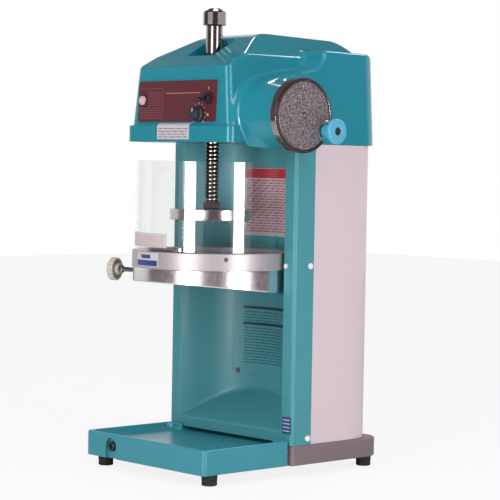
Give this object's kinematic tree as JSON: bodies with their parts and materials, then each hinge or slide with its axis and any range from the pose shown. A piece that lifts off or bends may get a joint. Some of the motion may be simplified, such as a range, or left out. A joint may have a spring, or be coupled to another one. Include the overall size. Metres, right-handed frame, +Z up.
{
  "type": "block ice shaver",
  "caption": "Bench-top shaver for block ice: a motor-driven threaded spindle with a spiked plate presses the ice on a bladed ring over a drip tray.",
  "frame": {"origin": "bottom centre of the bounding box, at the underside of the feet", "axes": "+Z up, -Y the front with the control panel, +X the side with the handwheel"},
  "size_m": [0.4301, 0.399, 0.7683],
  "materials": {
    "head_paint": "glossy moulded cover",
    "tray_plastic": "satin moulded",
    "column_paint": "satin enamel",
    "cover_paint": "satin enamel",
    "cast_grey": "painted casting",
    "rubber": "matt",
    "chrome": "polished",
    "stainless": "polished",
    "aluminium": "turned",
    "steel": "machined",
    "cast_iron": "bare casting",
    "brass": "machined",
    "panel_maroon": "printed film",
    "black_plastic": "moulded",
    "ivory_plastic": "moulded",
    "white_plastic": "moulded",
    "grip_plastic": "moulded",
    "hammered_grey": "hammered enamel",
    "clear_guard": "clear"
  },
  "bodies": {
    "frame": {"base_casting": "cast_grey", "foot_front_left": "rubber", "foot_front_right": "rubber", "foot_rear_left": "rubber", "foot_rear_right": "rubber", "column_casing": "column_paint", "rear_cover": "cover_paint", "cover_screw_upper_right": "white_plastic", "cover_screw_lower_right": "white_plastic", "cover_screw_upper_left": "white_plastic", "cover_screw_lower_left": "white_plastic", "frame_post_left": "steel", "frame_post_right": "steel", "head_frame": "cast_iron", "head_floor": "head_paint", "head_cover": "head_paint", "control_panel": "panel_maroon", "toggle_body": "black_plastic", "control_module": "black_plastic", "motor_body": "cast_grey", "drive_belt": "rubber", "gear_case_lower": "cast_iron", "gear_case_upper": "cast_iron", "spindle_bearing": "steel", "handwheel_bracket": "cast_iron", "blade_ring": "aluminium", "ring_shroud": "stainless", "blade_table": "stainless", "ring_bracket": "cast_iron", "ring_bolt_left": "steel", "ring_bolt_right": "steel", "guard_strip": "stainless", "cable_gland": "black_plastic"},
    "tray": {"drip_tray": "tray_plastic", "drain_nipple": "black_plastic"},
    "toggle": {"toggle_lever": "black_plastic"},
    "dial": {"speed_dial": "black_plastic"},
    "reset": {"reset_button": "white_plastic"},
    "motor_rotor": {"motor_shaft": "steel", "motor_pulley": "cast_iron"},
    "counter": {"countershaft": "steel", "counter_pulley": "cast_iron"},
    "drive_hub": {"drive_sleeve": "steel", "drive_gear": "steel"},
    "spindle": {"spindle_screw": "chrome", "spindle_cap": "chrome", "spindle_collar": "stainless", "spike_plate": "stainless"},
    "nut": {"feed_nut": "brass"},
    "handwheel": {"handwheel_shaft": "steel", "bevel_pinion": "steel", "handwheel_rim": "chrome", "handwheel_face": "hammered_grey", "grip_pin": "steel"},
    "grip": {"grip": "grip_plastic"},
    "adjuster": {"adjust_knob": "ivory_plastic", "adjust_screw": "steel"},
    "blade_carrier": {"blade": "stainless", "blade_holder": "cast_iron"},
    "guard": {"guard": "clear_guard"}
  },
  "joints": [
    {"name": "tray_slide", "type": "slide", "parent": "frame", "child": "tray", "axis": [0, -1, 0], "range_m": [0, 0.15]},
    {"name": "toggle_tilt", "type": "hinge", "parent": "frame", "child": "toggle", "pos_m": [0.04158, -0.13752, 0.616], "axis": [-1, 0, 0], "range_deg": [0, 24]},
    {"name": "dial_turn", "type": "hinge", "parent": "frame", "child": "dial", "pos_m": [0.01908, -0.13866, 0.59052], "axis": [0, 0.9992, -0.0407], "range_deg": [0, 270]},
    {"name": "reset_press", "type": "slide", "parent": "frame", "child": "reset", "axis": [0, 0.9992, -0.0407], "range_m": [0, 0.0025], "stiffness_N_per_m": 400, "springref_m": -0.0025},
    {"name": "spindle_spin", "type": "hinge", "parent": "frame", "child": "drive_hub", "pos_m": [-0.03142, -0.0595, 0.64], "axis": [0, 0, 1], "continuous": true},
    {"name": "spindle_feed", "type": "slide", "parent": "drive_hub", "child": "spindle", "axis": [0, 0, 1], "range_m": [-0.045, 0.09]},
    {"name": "counter_spin", "type": "hinge", "parent": "frame", "child": "counter", "pos_m": [-0.03142, 0.0045, 0.64], "axis": [0, 0, 1], "continuous": true},
    {"name": "motor_spin", "type": "hinge", "parent": "frame", "child": "motor_rotor", "pos_m": [-0.03142, 0.1305, 0.64], "axis": [0, 0, 1], "continuous": true},
    {"name": "handwheel_turn", "type": "hinge", "parent": "frame", "child": "handwheel", "pos_m": [-0.03142, -0.0595, 0.589], "axis": [1, 0, 0], "range_deg": [-4830, 2410]},
    {"name": "feed_nut_turn", "type": "hinge", "parent": "frame", "child": "nut", "pos_m": [-0.03142, -0.0595, 0.589], "axis": [0, 0, 1], "range_deg": [-4835, 2415]},
    {"name": "grip_spin", "type": "hinge", "parent": "handwheel", "child": "grip", "pos_m": [0.18858, -0.0115, 0.565], "axis": [1, 0, 0], "continuous": true},
    {"name": "blade_adjust", "type": "hinge", "parent": "frame", "child": "adjuster", "pos_m": [-0.17099, -0.11447, 0.328], "axis": [-0.9304, -0.3665, 0], "range_deg": [-360, 360]},
    {"name": "blade_lift", "type": "slide", "parent": "frame", "child": "blade_carrier", "axis": [0, 0, 1], "range_m": [-0.00085, 0.00085]},
    {"name": "guard_turn", "type": "hinge", "parent": "frame", "child": "guard", "pos_m": [-0.03142, -0.0595, 0.44], "axis": [0, 0, 1], "range_deg": [0, 180]}
  ],
  "couplings": [
    {"joint": "counter_spin", "follows": "spindle_spin", "ratio": -3},
    {"joint": "motor_spin", "follows": "spindle_spin", "ratio": -6.5676},
    {"joint": "spindle_feed", "follows": "handwheel_turn", "m_per_rad": -0.0010663},
    {"joint": "feed_nut_turn", "follows": "handwheel_turn", "ratio": 1},
    {"joint": "blade_lift", "follows": "blade_adjust", "m_per_rad": 0.00012732}
  ]
}
